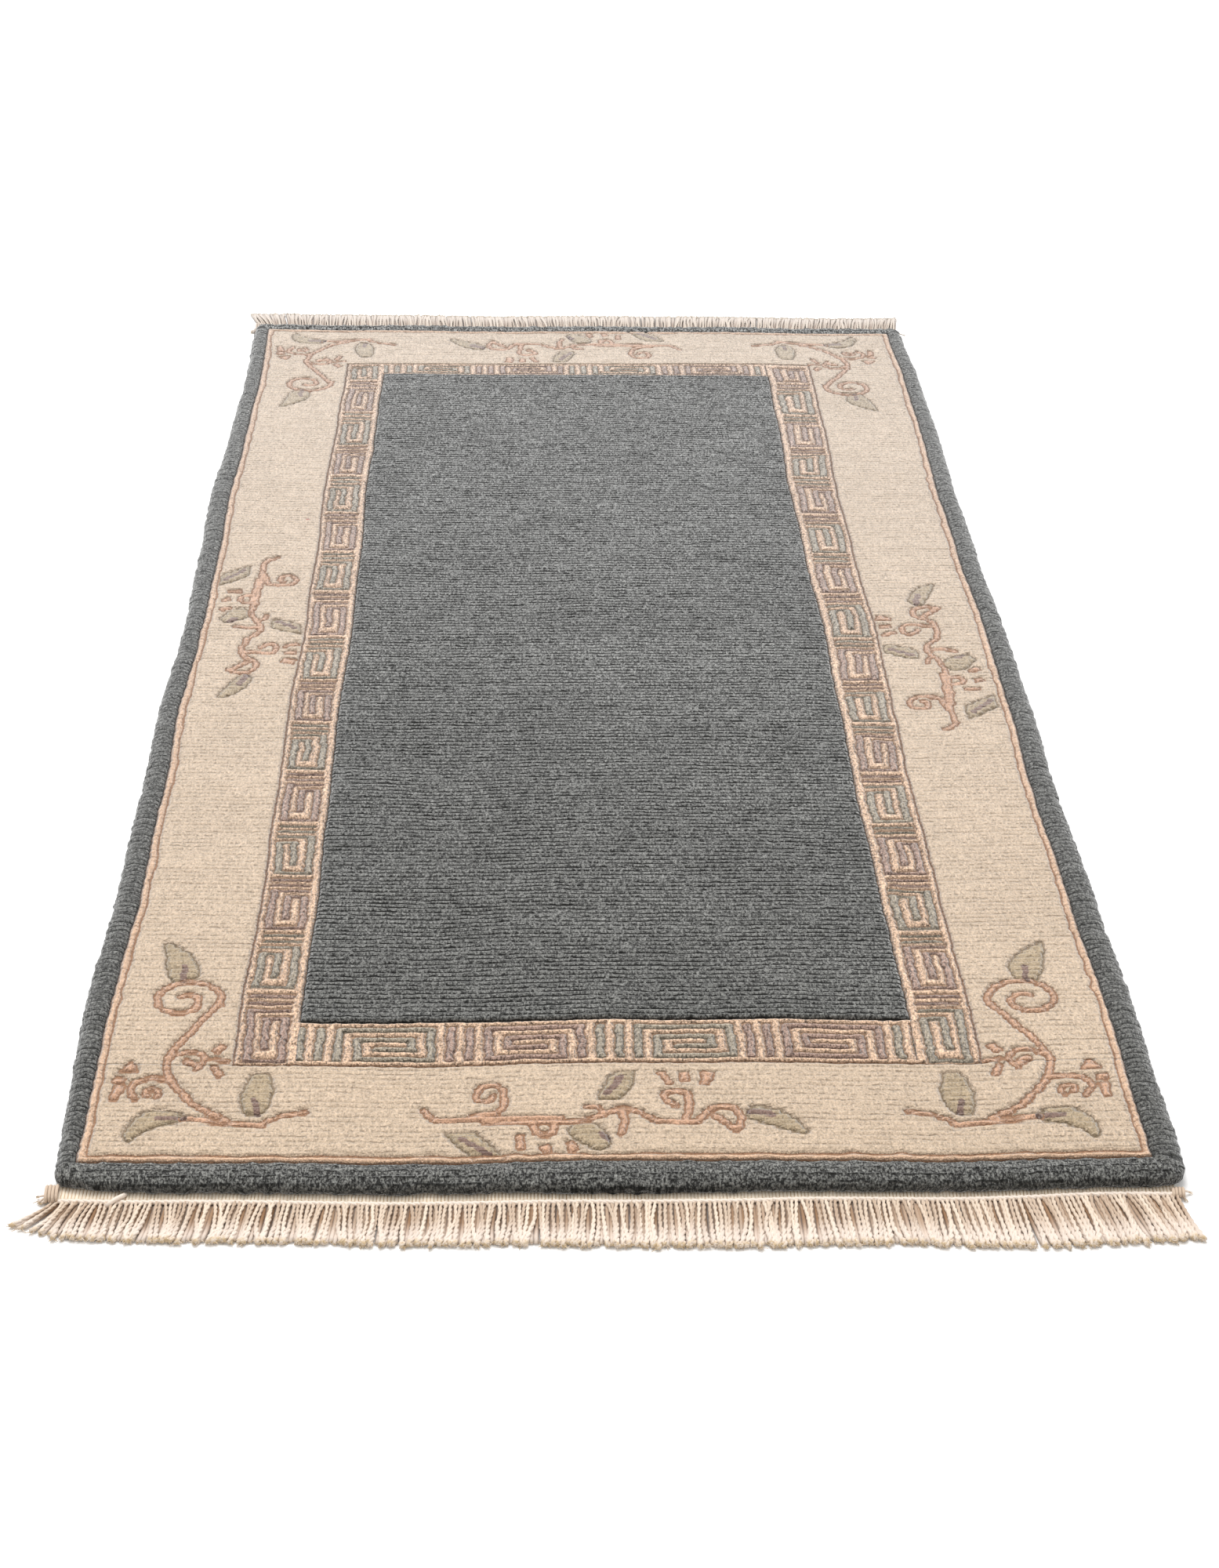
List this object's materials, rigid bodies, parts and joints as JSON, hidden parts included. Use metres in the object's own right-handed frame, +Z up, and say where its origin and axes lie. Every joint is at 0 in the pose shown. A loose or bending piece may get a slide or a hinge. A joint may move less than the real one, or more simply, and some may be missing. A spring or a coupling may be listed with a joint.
{
  "type": "fringed pile rug",
  "caption": "Flat rectangular hand-knotted wool pile rug with a plain field, a key border, a pale outer border, woven ends and cotton fringes.",
  "frame": {"origin": "middle of the rug's whole outline, fringes included, on the floor", "axes": "+X across the rug, +Y along it towards the far end, +Z up"},
  "size_m": [0.7252, 1.4706, 0.0135],
  "materials": {
    "wool_pile": "cut wool pile in grey-green, cream, peach, mauve and olive",
    "cotton_web": "tightly woven undyed cotton",
    "cotton_fringe": "twisted undyed cotton yarn with frayed cut ends"
  },
  "bodies": {
    "root": {"pile": "wool_pile", "woven_end_front": "cotton_web", "woven_end_back": "cotton_web", "fringe_front": "cotton_fringe", "fringe_back": "cotton_fringe"}
  },
  "joints": []
}
